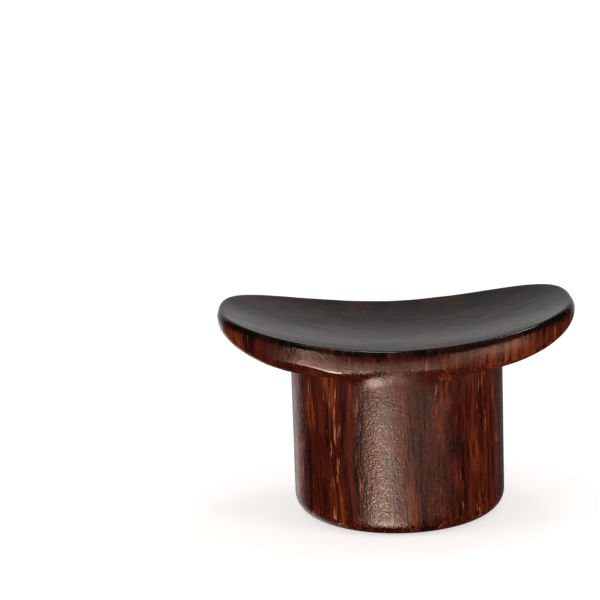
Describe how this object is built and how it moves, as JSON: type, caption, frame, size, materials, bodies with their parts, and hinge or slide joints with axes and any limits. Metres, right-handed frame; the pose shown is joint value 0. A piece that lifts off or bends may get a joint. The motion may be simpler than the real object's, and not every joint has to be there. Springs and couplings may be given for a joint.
{
  "type": "stretched labret",
  "caption": "One-piece wooden lip plug: a round barrel with an oval flange whose dished face lies against the gum.",
  "frame": {"origin": "middle of the barrel's free end, which is what the labret stands on when it isn't worn", "axes": "+Z along the barrel from its free end to the flange, X along the flange, Y across it"},
  "size_m": [0.02, 0.0124, 0.012],
  "materials": {
    "wood": "dense dark red-brown wood with fine grain along the barrel, oiled and polished to a satin sheen"
  },
  "bodies": {
    "root": {"labret": "wood"}
  },
  "joints": []
}
